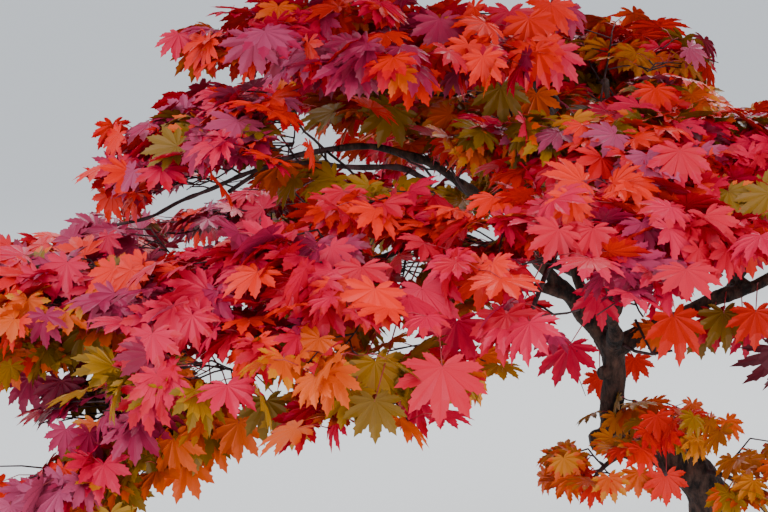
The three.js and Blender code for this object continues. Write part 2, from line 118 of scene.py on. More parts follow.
PADS = [
    pad("left_high", SHOULDER, 199, 0.448, 0.993, "trunk", 0.97, half=(0.234, 0.240, 0.134), tilt=19,
        rise=50, girth=0.0135),
    pad("front", SKIRT, 255, 0.440, 0.915, "trunk", 0.965, half=(0.310, 0.300, 0.110), rise=34,
        girth=0.011, lower=(2,)),
    pad("right", SKIRT, 352, 0.680, 0.845, "trunk", 0.97, rise=32, girth=0.0130),
    pad("back", SKIRT, 102, 0.620, 0.868, "trunk", 0.975, rise=34, girth=0.0120),
    pad("left_low", SKIRT, 208, 0.690, 0.698, "left_high", 0.2, half=(0.200, 0.140, 0.072), tilt=42,
        rise=14),
    pad("left", SKIRT, 192, 0.785, 0.805, "left_low", 0.55, half=(0.310, 0.290, 0.085), rise=22),
    pad("front_left", SKIRT, 228, 0.555, 0.848, "left_low", 0.3, half=(0.330, 0.310, 0.165), tilt=23,
        rise=24, shaded_below=0.87),
    pad("crown_left", CROWN, 199, 0.352, 1.092, "left_high", 0.5, half=(0.314, 0.300, 0.176), tilt=-2,
        girth=0.0086),
    pad("crown_top", CROWN, 168, 0.310, 1.412, "crown_left", 0.8, rise=84, girth=0.0046),
    pad("crown_front", CROWN, 226, 0.440, 1.356, "crown_top", 0.6, half=(0.270, 0.270, 0.125)),
    pad("crown_right", CROWN, 350, 0.190, 1.338, "crown_top", 0.5, half=(0.295, 0.295, 0.125)),
    pad("crown_back", CROWN, 128, 0.500, 1.328, "crown_top", 0.45),
    pad("front_right", SKIRT, 309, 0.600, 0.900, "front", 0.35, half=(0.310, 0.300, 0.120), lower=(2,)),
    pad("shoulder_front", SHOULDER, 276, 0.190, 0.984, "front", 0.25, half=(0.290, 0.235, 0.130)),
    pad("shoulder_right", SHOULDER, 352, 0.350, 0.940, "right", 0.35),
    pad("right_back", SKIRT, 32, 0.700, 0.855, "right", 0.3),
    pad("back_right", SKIRT, 68, 0.675, 0.850, "back", 0.4),
    pad("shoulder_back", SHOULDER, 90, 0.345, 1.046, "back", 0.5, half=(0.290, 0.180, 0.125)),
    pad("back_left", SKIRT, 137, 0.655, 0.798, "back", 0.3, rise=8),
    pad("left_back", SKIRT, 166, 0.725, 0.760, "back_left", 0.35, half=(0.310, 0.300, 0.125), rise=4),
    pad("shoulder_left", SHOULDER, 132, 0.320, 1.035, "crown_left", 0.2, rise=30),
]
SHOOT = {"name": "shoot", "rise": 0, "lower": (2,)}
SHOOTS = [
    pad("shoot_left", SHOOT, 228, 0.094, 0.582, "trunk", 0.63, half=(0.095, 0.095, 0.066), tilt=20),
    pad("shoot_bend", SHOOT, 288, 0.082, 0.632, "trunk", 0.66, half=(0.100, 0.095, 0.060), tilt=10),
    pad("shoot_right", SHOOT, 312, 0.115, 0.568, "trunk", 0.5, half=(0.095, 0.095, 0.062), tilt=18),
]


def lone_leaf(palm, azimuth, slope, length, tint, curl=0):
    pose = {"palm": palm, "azimuth": azimuth, "slope": slope}
    return {**pose, "length": length, "tint": tint, "curl": curl}


# Leaves that show one by one round the fork and in front of the crown: where the palm is, which way
# and how steeply the middle lobe points, its length, its tint and how far it has curled up.
# Their mauve tint is partly the leaf's own colour and partly a painted sheen.
SINGLE_LEAVES = [
    lone_leaf((-0.190, -0.100, 0.825), 285, -58, 0.052, "rose"),
    lone_leaf((-0.225, -0.100, 0.755), 232, -50, 0.060, "rose"),
    lone_leaf((-0.095, -0.130, 0.800), 298, -64, 0.066, "coral"),
    lone_leaf((-0.020, -0.060, 0.790), 285, -66, 0.054, "olive"),
    lone_leaf((-0.105, -0.030, 0.765), 262, -60, 0.040, "orange"),
    lone_leaf((-0.120, 0.070, 0.700), 275, -60, 0.036, "coral"),
    lone_leaf((-0.165, 0.090, 0.670), 255, -70, 0.034, "coral"),
    lone_leaf((-0.300, -0.300, 0.850), 262, -52, 0.058, "crimson"),
    lone_leaf((-0.400, -0.520, 0.835), 262, -56, 0.066, "crimson"),
    lone_leaf((-0.405, -0.660, 0.855), 262, -58, 0.064, "crimson"),
    lone_leaf((-0.385, -0.500, 0.870), 250, -52, 0.058, "rose"),
    lone_leaf((-0.475, -0.620, 0.810), 275, -66, 0.046, "olive"),
    lone_leaf((-0.500, -0.600, 0.815), 240, -58, 0.044, "gold"),
    lone_leaf((-0.125, -0.050, 0.570), 255, -78, 0.036, "orange"),
    lone_leaf((-0.090, -0.060, 0.570), 280, -76, 0.044, "coral"),
    lone_leaf((-0.100, -0.030, 0.560), 300, -60, 0.036, "orange"),
    lone_leaf((-0.110, -0.020, 0.765), 270, -70, 0.038, "orange"),
    lone_leaf((-0.030, -0.050, 0.785), 280, -68, 0.050, "crimson"),
    lone_leaf((0.015, -0.100, 0.800), 262, -66, 0.052, "coral"),
    lone_leaf((-0.035, 0.030, 0.750), 275, -72, 0.044, "olive"),
    lone_leaf((0.020, 0.020, 0.755), 290, -66, 0.046, "rose"),
    lone_leaf((-0.595, -0.500, 0.780), 255, -66, 0.050, "olive"),
    lone_leaf((-0.570, -0.500, 0.770), 285, -64, 0.046, "gold"),
    lone_leaf((-0.630, -0.440, 0.740), 262, -66, 0.048, "orange"),
    lone_leaf((-0.660, -0.420, 0.720), 240, -62, 0.050, "orange"),
    lone_leaf((-0.890, -0.300, 0.760), 232, -60, 0.048, "mauve"),
    lone_leaf((-0.850, -0.320, 0.760), 262, -66, 0.046, "wine"),
    lone_leaf((-0.820, -0.300, 0.745), 284, -62, 0.046, "olive"),
    lone_leaf((-0.255, -0.100, 1.195), 262, -62, 0.050, "coral"),
    lone_leaf((-0.235, -0.080, 1.190), 300, -58, 0.046, "mauve"),
    lone_leaf((-0.275, -0.140, 1.085), 250, -60, 0.048, "orange"),
    lone_leaf((-0.320, -0.160, 1.095), 280, -64, 0.050, "olive"),
    lone_leaf((0.045, -0.120, 0.755), 280, -78, 0.056, "maroon", 0.9),
    lone_leaf((-0.105, -0.300, 1.060), 250, -30, 0.034, "maroon", 1.0),
    lone_leaf((-0.130, -0.300, 1.035), 220, -30, 0.034, "maroon", 1.0),
    lone_leaf((-0.025, -0.300, 1.005), 310, -40, 0.032, "maroon", 1.0),
]
# Dead twigs on the limbs, and a stalk that has lost its leaf: points along each, and its radius.
DEAD_TWIGS = [
    ([
        (-0.158, -0.012, 0.744), (-0.132, -0.034, 0.732), (-0.110, -0.044, 0.730), (-0.084, -0.048, 0.736),
    ], 0.0026),
    ([(-0.132, -0.028, 0.774), (-0.120, -0.036, 0.750), (-0.110, -0.044, 0.730)], 0.0020),
    ([(-0.110, -0.044, 0.730), (-0.092, -0.030, 0.758), (-0.072, -0.026, 0.772)], 0.0018),
    ([(-0.216, -0.110, 0.750), (-0.214, -0.114, 0.716), (-0.204, -0.112, 0.690)], 0.0008),
    ([
        (-0.360, -0.100, 0.954), (-0.372, -0.116, 0.972), (-0.380, -0.120, 0.988), (-0.388, -0.120, 1.000),
    ], 0.0022),
    ([(-0.372, -0.116, 0.972), (-0.366, -0.110, 0.984), (-0.356, -0.100, 0.988)], 0.0014),
    ([
        (-0.404, -0.120, 0.976), (-0.414, -0.130, 0.990), (-0.432, -0.136, 0.998), (-0.448, -0.136, 1.010),
    ], 0.0018),
    ([
        (-0.430, -0.130, 0.988), (-0.440, -0.140, 0.980), (-0.456, -0.144, 0.968), (-0.464, -0.150, 0.956),
    ], 0.0016),
    ([
        (-0.570, -0.150, 0.998), (-0.580, -0.150, 1.012), (-0.592, -0.150, 1.030), (-0.602, -0.150, 1.044),
    ], 0.0016),
    ([(-0.580, -0.150, 1.012), (-0.590, -0.150, 1.014), (-0.608, -0.156, 1.016)], 0.0012),
    ([(-0.532, -0.144, 0.996), (-0.544, -0.144, 1.010), (-0.548, -0.140, 1.024)], 0.0014),
    ([
        (-0.640, -0.180, 0.988), (-0.652, -0.184, 0.996), (-0.668, -0.184, 1.002), (-0.682, -0.190, 1.020),
    ], 0.0016),
    ([(-0.668, -0.184, 1.002), (-0.682, -0.190, 0.998), (-0.696, -0.196, 1.000)], 0.0011),
    ([(-0.678, -0.190, 0.972), (-0.688, -0.196, 0.976), (-0.704, -0.200, 0.976)], 0.0012),
]

# Boughs: radii at the tip and at the foot, and how each runs from its foot to its pad.
SPACE_CLEAR = 0.002  # between the spaces of two pads
BOUGH_TIP = 0.0042
TIP_SHARE = 0.8  # of the bough's radius at its foot, at most
CHILD_SHARE = 0.78  # of the parent's radius, where a bough has no girth of its own
TAPER = 0.7
FALL = -6  # degrees, as it enters its pad
REACH_IN = 0.34
SWAY = 0.07  # to one side or the other, as a share of its length
ENTRY = 0.78
ENTRY_STEP = 0.05
INWARD = 0.6
LIMB_SAMPLES = 40  # points kept along each limb, to measure distances from

# Twigs, sprays and leaves, in metres and degrees. A jitter is the whole range of a random turn.
GOLDEN = 137.5
DOME = 0.5
OVERHANG = 1.16
LOOSE = 0.050  # how far a spray's leaves may pass the planes between two pads
STEM = {"base": 0.0040, "end": 0.0026, "sides": 7, "reach": 0.62, "crest": 0.5, "rings": 9}
TWIG = {"root": 0.0026, "tip": 0.0011, "child": 0.5, "arc": 0.12, "sides": 5, "wander": 0.1, "lift": 0.02}
# The leaves of a pad, and those of the trunk's own leafy shoots: each spray has its own twig, and a
# leaf's length runs from its palm to its middle lobe's tip.
LARGE = {"sprays": 30, "side_shoots": 5, "length": (0.036, 0.056), "stalk": 1.0}
SMALL = {"sprays": 5, "side_shoots": 2, "length": (0.029, 0.041), "stalk": 0.6}
SHOOT_FOOT = 0.8  # how far out from the trunk's middle a leafy shoot starts, in its radius
# Where a pad's sprays stand, as shares of its half length, width and height
PLACES = {"back": 0.2, "turn": 25, "along": 0.86, "across": 0.78, "crest": 0.72, "jitter": 0.25}
LOWER = {"every": 5, "share": 0.65, "height": -0.1, "fall": 0.35}  # the sprays under the others
HUB_BACK = 0.162  # metres behind a pad's foot: its leaves point away from there
SHOOT_LENGTH = (0.045, 0.090)
SHOOT_TAPER, SHOOT_SIDES = np.array([1, 0.9, 0.75]), 4
SHOOT_FROM = 0.45  # the share of a twig beyond which its side shoots stand
SHOOT_SPREAD = {"least": 38, "jitter": 30, "turn": 20}
SHOOT_RISE = {"first": 6, "first_jitter": 20, "last": -4, "last_jitter": 24, "turn": 24}
STALK = {"length": (0.022, 0.046), "radius": 0.0006, "foot": 1.3, "arch": 0.1, "sides": 3}
STALK_TURN = {"least": 46, "jitter": 40, "rise": 8, "rise_jitter": 36}
LEAF_FOOT = 0.03  # where the stalk ends under the blade, as a share of the leaf's length
LEAF_REACH = 0.4  # the share of the leaf's length that has to stay inside its pad
HANG = {"least": 14, "more": 28, "jitter": 84, "roll": 84, "turn": 140, "with_stalk": 0.45}
SHADED = 0.85  # the share of a pad's lower sprays that take the shade's tints
OWN_TINT = 0.5  # the share of leaves that take their spray's tint
BEYOND = 0.028  # how far a leaf may pass the solids' own box

# The crown is open along some lines of sight: where each crosses y = 0, as x, z and radius.
EYE = np.array([-0.465, -2.8, 1.348])
EYE_FALL = 10  # degrees that the view looks down
OPENINGS = [
    (-0.755, 0.915, 0.013),
    (-0.710, 0.935, 0.016),
    (-0.662, 0.953, 0.010),
    (-0.590, 1.002, 0.008),
    (-0.478, 0.975, 0.005),
    (-0.412, 0.985, 0.006),
    (-0.360, 0.955, 0.008),
    (-0.330, 0.880, 0.008),
    (-0.430, 0.835, 0.009),
    (-0.855, 0.645, 0.010),
    (-0.702, 0.692, 0.005),
    (-0.475, 0.700, 0.005),
    (-0.630, 0.618, 0.006),
    (-0.470, 0.545, 0.030),
    (0.009, 1.102, 0.040),
    (-0.955, 0.585, 0.028),
    (-0.301, 0.652, 0.022),
]

# Limbs that show between the leaves: which one, from and to which share of its length, and how
# wide a way to it is kept clear.
SHOWN = [
    ("left_high", 0.03, 0.30, 0.012),
    ("left_high", 0.62, 0.98, 0.010),
    ("right", 0.08, 0.60, 0.012),
]
SHOWN_STEPS = 16  # lines of sight to each
MOST_HIDDEN = 0.08  # the share of a leaf's points that may lie before such a limb
# Finer limbs that show: points along each, and its radius at both ends.
FINE_LIMBS = [
    ([
        (-0.404, -0.120, 0.968), (-0.444, -0.130, 0.990), (-0.500, -0.140, 0.992), (-0.558, -0.150, 0.998),
        (-0.600, -0.164, 0.998), (-0.640, -0.180, 0.988), (-0.678, -0.190, 0.972), (-0.716, -0.200, 0.958),
        (-0.752, -0.210, 0.940), (-0.792, -0.220, 0.932),
    ], 0.0042, 0.0020),
]

SEED = 20
TINY = 1e-12  # keeps a division clear of nothing
rng = np.random.default_rng(SEED)


def reseed(number):
    """Starts the numbers again for one piece, so that a change to another leaves it as it is."""
    rng.bit_generator.state = np.random.default_rng([SEED, number]).bit_generator.state


def unit(v):
    return v / max(np.linalg.norm(v), TINY)


def heading(azimuth, slope):
    a, s = math.radians(azimuth), math.radians(slope)
    return np.array([math.cos(a) * math.cos(s), math.sin(a) * math.cos(s), math.sin(s)])


def azimuth_of(v):
    return math.degrees(math.atan2(v[1], v[0]))


def jitter(size):
    return size * (rng.random() - 0.5)


def at_least(least, more):
    return least + more * rng.random()


# Curves: each is a function from a share, 0 to 1, to a point.
def spline(points):
    line = np.array(points, float)
    line = np.vstack([2 * line[0] - line[1], line, 2 * line[-1] - line[-2]])
    spans = len(points) - 1

    def point(share):
        at = min(max(share, 0.0), 1.0) * spans
        i = min(int(at), spans - 1)
        w = at - i
        before, start, end, after = line[i : i + 4]
        a, b = (end - before) / 2, (after - start) / 2
        return start + a * w + (3 * (end - start) - 2 * a - b) * w**2 + (2 * (start - end) + a + b) * w**3

    return point


trunk_point = spline([row[:3] for row in TRUNK])


def trunk_radius(share):
    return float(np.interp(share * (len(TRUNK) - 1), range(len(TRUNK)), [row[3] for row in TRUNK]))


def bezier(start, first, last, end):
    def point(share):
        back = 1 - share
        return back**3 * start + 3 * back**2 * share * first + 3 * back * share**2 * last + share**3 * end

    return point


def tangent(curve, share, step=1e-3):
    return unit(curve(min(1.0, share + step)) - curve(max(0.0, share - step)))


# The pads' spaces
def pad_space(row, start, number):
    out = heading(row["azimuth"], -row["tilt"])
    across = heading(row["azimuth"] + 90, 0)
    middle = np.array([start[0], start[1], 0.0]) + heading(row["azimuth"], 0) * row["reach"]
    middle[2] = row["height"]
    axes = np.array([out, across, np.cross(out, across)])
    return {**row, "number": number, "half": np.array(row["half"]), "middle": middle, "axes": axes}


LEAST, MOST = np.array(cad_box[0]) - BEYOND, np.array(cad_box[1]) + BEYOND


def extent(space, direction):
    return np.linalg.norm(space["axes"] @ direction * space["half"])


def divide(spaces):
    """Sets a plane between each two pads, so that each keeps to its own side."""
    for space in spaces:
        space["normals"], space["offsets"] = [], []
        for other in spaces:
            if other is space:
                continue
            between = other["middle"] - space["middle"]
            normal = unit(between)
            mine = extent(space, normal)
            share = mine / (mine + extent(other, normal))
            space["normals"].append(normal)
            space["offsets"].append(normal @ (space["middle"] + between * share) - SPACE_CLEAR)
        space["normals"] = np.array(space["normals"])
        space["offsets"] = np.array(space["offsets"])


def inside(space, point, overhang=OVERHANG, loose=0.0):
    a, b, c = space["axes"] @ (point - space["middle"]) / (space["half"] * overhang)
    if (a * a + b * b) ** 2 + c**4 >= 1:
        return False
    return bool(np.all(space["normals"] @ point < space["offsets"] + loose))


HALVINGS = 14


def way_out(space, point, direction):
    """How far a direction runs from a point inside a pad to the pad's edge."""
    low, high = 0.0, 2 * max(space["half"])
    for _ in range(HALVINGS):
        middle = (low + high) / 2
        if inside(space, point + direction * middle):
            low = middle
        else:
            high = middle
    return low


def entry_of(space):
    """Where the bough enters its pad: towards the pad's inner end, and inside its space."""
    share = min(ENTRY, INWARD * space["reach"] / space["half"][0])
    while share > 0:
        point = space["middle"] - share * space["half"][0] * space["axes"][0]
        if inside(space, point):
            return point
        share -= ENTRY_STEP
    return space["middle"].copy()


spaces = [pad_space(row, FORK, i) for i, row in enumerate(PADS)]
shoot_spaces = [pad_space(row, trunk_point(row["along"]), len(PADS) + i) for i, row in enumerate(SHOOTS)]
divide(spaces + shoot_spaces)

limbs = {"trunk": {"curve": trunk_point, "radius": trunk_radius}}


def bough_curve(start, end, rise, sway, facing):
    span = np.linalg.norm(end - start)
    azimuth = azimuth_of(end - start)
    first = start + heading(azimuth, rise) * span * REACH_IN + heading(azimuth + 90, 0) * sway * span
    last = end - heading(facing, FALL) * span * REACH_IN
    return bezier(start, first, last, end)


def taper(base, end):
    return lambda share: base + (end - base) * share**TAPER


for space in spaces:
    parent = limbs[space["parent"]]
    start = parent["curve"](space["along"])
    sway = SWAY if space["number"] % 2 else -SWAY
    curve = bough_curve(start, entry_of(space), space["rise"], sway, space["azimuth"])
    base = space.get("girth") or CHILD_SHARE * parent["radius"](space["along"])
    limbs[space["name"]] = {"curve": curve, "radius": taper(base, min(BOUGH_TIP, TIP_SHARE * base))}


# The lines of sight that leaves keep clear of, to the sky and to the limbs that show.
open_ends = [np.array([x, 0.0, z]) for x, z, _ in OPENINGS]
open_radii = [radius for _, _, radius in OPENINGS]
for name, low, high, radius in SHOWN:
    for share in np.linspace(low, high, SHOWN_STEPS):
        open_ends.append(limbs[name]["curve"](share))
        open_radii.append(radius)
OPEN_LINES = np.array([unit(end - EYE) for end in open_ends])
OPEN_RADII = np.array(open_radii)
OPEN_DEPTHS = np.array([np.linalg.norm(end - EYE) for end in open_ends])


def in_the_open(points):
    """Whether a leaf's points lie in one of the crown's openings, or hide a limb that shows."""
    away = points[:, None] - EYE
    depths = np.sum(away * OPEN_LINES, axis=2)
    close = np.linalg.norm(away - depths[:, :, None] * OPEN_LINES, axis=2) < OPEN_RADII
    if np.any(close[:, : len(OPENINGS)]):
        return True
    before = (close & (depths < OPEN_DEPTHS))[:, len(OPENINGS) :]
    return float(np.mean(np.any(before, axis=1))) > MOST_HIDDEN


# Meshes from arrays
class Shapes:
    """Points, faces, materials and flat coordinates gathered for one mesh."""

    def __init__(self):
        self.points, self.corners, self.sizes, self.materials, self.flat = [], [], [], [], []
        self.count = 0

    def add(self, points, corners, sizes, material=0, flat=None):
        self.points.append(points)
        self.corners.append(corners + self.count)
        self.sizes.append(sizes)
        self.materials.append(np.broadcast_to(material, len(sizes)))
        self.flat.append(np.zeros((len(points), 2)) if flat is None else flat)
        self.count += len(points)


def mesh_from(name, shapes, materials, smooth):
    points = np.concatenate(shapes.points)
    corners = np.concatenate(shapes.corners)
    sizes = np.concatenate(shapes.sizes)
    mesh = bpy.data.meshes.new(name)
    mesh.vertices.add(len(points))
    mesh.vertices.foreach_set("co", points.ravel())
    mesh.loops.add(len(corners))
    mesh.loops.foreach_set("vertex_index", corners)
    mesh.polygons.add(len(sizes))
    mesh.polygons.foreach_set("loop_start", np.concatenate([[0], np.cumsum(sizes)[:-1]]))
    mesh.polygons.foreach_set("material_index", np.concatenate(shapes.materials))
    mesh.polygons.foreach_set("use_smooth", np.full(len(sizes), smooth))
    mesh.update(calc_edges=True)
    layer = mesh.uv_layers.new(name="blade")
    layer.data.foreach_set("uv", np.concatenate(shapes.flat)[corners].ravel())
    for material in materials:
        mesh.materials.append(material)
    obj = bpy.data.objects.new(name, mesh)
    bpy.context.scene.collection.objects.link(obj)
    return obj


ASKEW = [0.31, 0.57, 0.76]  # a direction that no limb runs along


def add_rings(shapes, rings, material=0, clockwise=False):
    """Rings of points, with faces from each ring to the next and one over each end."""
    sides = len(rings[0])
    i = np.arange(sides)
    following = (i + 1) % sides
    near, far, around = (following, i, i[::-1]) if clockwise else (i, following, i)
    quads = np.stack([near, far, far + sides, near + sides], axis=1)
    quads = [(quads + ring * sides).ravel() for ring in range(len(rings) - 1)]
    corners = np.concatenate([*quads, around[::-1], around + (len(rings) - 1) * sides])
    sizes = np.concatenate([np.full(sides * (len(rings) - 1), 4), [sides, sides]])
    shapes.add(np.concatenate(rings), corners, sizes, material)


def tube(shapes, points, radii, sides, material=0):
    """A closed tube along a line of points, with a ring of corners at each."""
    points = np.asarray(points, float)
    ways = np.gradient(points, axis=0)
    ways /= np.linalg.norm(ways, axis=1)[:, None] + TINY
    side = unit(np.cross(ways[0], ASKEW))
    turns = np.arange(sides) * 2 * math.pi / sides
    rings = []
    for middle, way, radius in zip(points, ways, radii):
        side = unit(side - way * (side @ way))
        across = np.cross(way, side)
        rings.append(middle + radius * (np.outer(np.cos(turns), side) + np.outer(np.sin(turns), across)))
    add_rings(shapes, rings, material)


# The leaf: nine lobes cut about halfway, each half lobe two faces from its midrib to its margin.
LOBE_STEP = 31  # degrees between two lobes
LOBES = [(-4 * LOBE_STEP, 0.42), (-3 * LOBE_STEP, 0.68), (-2 * LOBE_STEP, 0.86), (-LOBE_STEP, 0.96), (0, 1.0)]
LOBES += [(-angle, length) for angle, length in reversed(LOBES[:-1])]
SINUS = 0.60  # how far out the cut between two lobes comes, as a share of the shorter one
BASE_NOTCH = {"angle": 148, "radius": 0.14, "height": 0.6}
RIB_AT = 0.55  # where a lobe's two faces part on its midrib, as a share of its length
# A half lobe's teeth and the notches after them, from its widest point to its tip: share of the
# angle between two lobes, share of its length, and how far the fold lifts it.
TEETH = [(0.38, 0.73, 0.75), (0.26, 0.75, 0.5), (0.27, 0.85, 0.4), (0.14, 0.86, 0.2)]
# How each blade bends at random, in shares of its length: the least, and how much more at most.
FOLD = (0.05, 0.07)
DROOP = (0.04, 0.26)
DROOP_POWER = 2.2
WIDTH = (0.94, 0.12)
CUP, TWIST = 0.11, 0.15  # either way


def leaf_template():
    """A flat leaf: its points, how far out each lies and how far the fold lifts it, and its faces."""
    polar, ridge, corners = [(0.0, 0.0)], [0.0], []

    def corner(angle, radius, height):
        polar.append((math.radians(angle), radius))
        ridge.append(height)
        return len(polar) - 1

    cuts = [corner(-BASE_NOTCH["angle"], BASE_NOTCH["radius"], BASE_NOTCH["height"])]
    for (angle, length), (after, longer) in zip(LOBES, LOBES[1:]):
        cuts.append(corner((angle + after) / 2, SINUS * min(length, longer), 1.0))
    cuts.append(corner(**BASE_NOTCH))
    for i, (angle, length) in enumerate(LOBES):
        rib = corner(angle, RIB_AT * length, 0.0)
        tip = corner(angle, length, 0.0)
        for cut, way in ((cuts[i], -1), (cuts[i + 1], 1)):
            edge = [corner(angle + way * out * LOBE_STEP, at * length, lift) for out, at, lift in TEETH]
            faces = [[0, cut, edge[0], rib], [rib, *edge, tip]]
            corners += [face if way < 0 else face[::-1] for face in faces]
    angles, radii = np.array(polar).T
    flat = np.stack([radii * np.cos(angles), radii * np.sin(angles)], axis=1)
    return flat, radii, np.array(ridge), corners


LEAF_FLAT, LEAF_RADII, LEAF_RIDGE, leaf_faces = leaf_template()
LEAF_CORNERS = np.concatenate(leaf_faces)
LEAF_SIZES = np.array([len(face) for face in leaf_faces])
LEAF_TIPS = np.arange(len(leaf_faces)) % 2 == 1  # the outer face of each half lobe


def add_leaf(shapes, palm, towards, roll, length, material, tips, curl=None):
    """A leaf with its palm at a point and its middle lobe pointing towards a direction.

    A leaf with a curl of its own is one that shows by itself, so nothing keeps it back.
    """
    single, curl = curl is not None, curl or 0.0
    level = unit(np.cross(towards, [0, 0, 1.0]))
    up = np.cross(level, towards)
    normal = up * math.cos(roll) + level * math.sin(roll)
    aside = np.cross(normal, towards)
    fold = at_least(*FOLD)
    droop = at_least(*DROOP) + curl
    cup = jitter(2 * CUP) + curl
    twist = jitter(2 * TWIST)
    u, v = LEAF_FLAT.T
    v = v * at_least(*WIDTH)
    w = fold * LEAF_RIDGE * LEAF_RADII - droop * LEAF_RADII**DROOP_POWER - cup * v * v + twist * u * v
    points = palm + length * (np.outer(u, towards) + np.outer(v, aside) + np.outer(w, normal))
    if not single and (np.any(points < LEAST) or np.any(points > MOST) or in_the_open(points)):
        return False
    shapes.add(points, LEAF_CORNERS, LEAF_SIZES, np.where(LEAF_TIPS, tips, material), LEAF_FLAT)
    return True


# Materials
def linear(hex_colour):
    parts = [int(hex_colour[i : i + 2], 16) / 255 for i in (1, 3, 5)]
    return [c / 12.92 if c <= 0.04045 else ((c + 0.055) / 1.055) ** 2.4 for c in parts] + [1.0]


def add_node(material, kind, settings=None, links=None):
    """Adds a node. settings are its properties or, by name or number, its inputs' values."""
    node = material.node_tree.nodes.new("ShaderNode" + kind)
    for key, value in (settings or {}).items():
        if isinstance(key, int) or key in node.inputs:
            node.inputs[key].default_value = value
        else:
            setattr(node, key, value)
    for key, socket in (links or {}).items():
        material.node_tree.links.new(socket, node.inputs[key])
    return node


def new_material(name):
    material = bpy.data.materials.new(name)
    material.use_nodes = True
    material.node_tree.nodes.clear()
    return material


def finish_material(material, shader):
    add_node(material, "OutputMaterial", links={"Surface": shader.outputs["BSDF"]})
    return material


# A leaf blade: lengths are shares of the leaf's own, and side veins are finer on a real leaf, drawn
# as coarse as shows.
SIDE_VEINS = 13  # along a lobe
VEIN_SLANT = -0.6
VEIN_SHARE = 0.5  # of the main ribs' height
RIB_WIDTH = 0.07  # of the angle between two lobes
BLADE_RELIEF = {"Strength": 0.35, "Distance": 0.001}
MOTTLES = {"Scale": 14.0, "Detail": 2.0}  # duller and glossier places, about 4 mm across
BLADE_ROUGH = {"To Min": 0.32, "To Max": 0.52}
BLADE_SPECULAR = 0.28


def leaf_blade(name, colour):
    """Autumn maple leaf: thin, matt-satin, with ribs and side veins a little raised."""
    material = new_material(name)
    place = add_node(material, "UVMap", {"uv_map": "blade"})
    blade = place.outputs["UV"]
    split = add_node(material, "SeparateXYZ", links={0: blade})
    x, y = split.outputs["X"], split.outputs["Y"]
    turn = add_node(material, "Math", {"operation": "ARCTAN2"}, {0: y, 1: x})
    step = math.radians(LOBE_STEP)
    lobes = add_node(material, "Math", {"operation": "DIVIDE", 1: step}, {0: turn.outputs[0]})
    from_rib = add_node(material, "Math", {"operation": "PINGPONG", 1: 0.5}, {0: lobes.outputs[0]})
    aside = from_rib.outputs[0]
    out = add_node(material, "VectorMath", {"operation": "LENGTH"}, {0: blade})
    slant = add_node(material, "Math", {"operation": "MULTIPLY", 1: VEIN_SLANT}, {0: aside})
    ends = {0: out.outputs["Value"], 1: slant.outputs[0]}
    along = add_node(material, "Math", {"operation": "ADD"}, ends)
    veins = add_node(material, "Math", {"operation": "MULTIPLY", 1: SIDE_VEINS}, {0: along.outputs[0]})
    wave = add_node(material, "Math", {"operation": "PINGPONG", 1: 0.5}, {0: veins.outputs[0]})
    falling = {"From Max": RIB_WIDTH, "To Min": 1.0, "To Max": 0.0}
    rib = add_node(material, "MapRange", falling, {"Value": aside})
    both = {0: wave.outputs[0], 2: rib.outputs[0]}
    height = add_node(material, "Math", {"operation": "MULTIPLY_ADD", 1: VEIN_SHARE}, both)
    bump = add_node(material, "Bump", BLADE_RELIEF, {"Height": height.outputs[0]})
    mottle = add_node(material, "TexNoise", MOTTLES, {"Vector": blade})
    gloss = add_node(material, "MapRange", BLADE_ROUGH, {"Value": mottle.outputs[0]})
    shader = add_node(
        material,
        "BsdfPrincipled",
        {"Base Color": linear(colour), "Specular IOR Level": BLADE_SPECULAR},
        {"Roughness": gloss.outputs[0], "Normal": bump.outputs[0]},
    )
    return finish_material(material, shader)


# Bark: its patches are about 14 mm across, and all of it is drawn out along Z.
BARK_DRAWN = (1.0, 1.0, 0.45)
BARK_PATCHES = {"Scale": 70.0, "Detail": 6.0, "Roughness": 0.7}
BARK_TONES = {"From Min": 0.42, "From Max": 0.68}
CRACK_DEPTH = 0.6
OLD_BARK = {"dark": "#120b08", "light": "#5a4034", "plates": 150.0, "relief": 0.004}  # 7 mm plates
YOUNG_BARK = {"dark": "#2a1a18", "light": "#5e4446", "plates": 400.0, "relief": 0.001}  # 2.5 mm apart
BARK_FINISH = {"Roughness": 0.82, "Specular IOR Level": 0.35}


def maple_bark(name, dark, light, plates, relief):
    """Old maple bark: dark, rough and knobbly, with greyer lights on its ridges."""
    material = new_material(name)
    place = add_node(material, "TexCoord")
    drawn = add_node(material, "Mapping", {"Scale": BARK_DRAWN}, {"Vector": place.outputs["Object"]})
    spot = {"Vector": drawn.outputs[0]}
    cloud = add_node(material, "TexNoise", BARK_PATCHES, spot)
    cracks = add_node(material, "TexVoronoi", {"feature": "DISTANCE_TO_EDGE", "Scale": plates}, spot)
    tone = add_node(material, "MapRange", BARK_TONES, {"Value": cloud.outputs[0]})
    tones = {"data_type": "RGBA", 6: linear(dark), 7: linear(light)}
    colour = add_node(material, "Mix", tones, {0: tone.outputs[0]})
    both = {0: cracks.outputs["Distance"], 2: cloud.outputs[0]}
    height = add_node(material, "Math", {"operation": "MULTIPLY_ADD", 1: CRACK_DEPTH}, both)
    depth = {"Strength": 0.8, "Distance": relief}
    bump = add_node(material, "Bump", depth, {"Height": height.outputs[0]})
    links = {"Base Color": colour.outputs[2], "Normal": bump.outputs[0]}
    return finish_material(material, add_node(material, "BsdfPrincipled", BARK_FINISH, links))


SHOOT_MOTTLES = {"Scale": 90.0}  # about 11 mm across
SHOOT_ROUGH = {"To Min": 0.35, "To Max": 0.6}


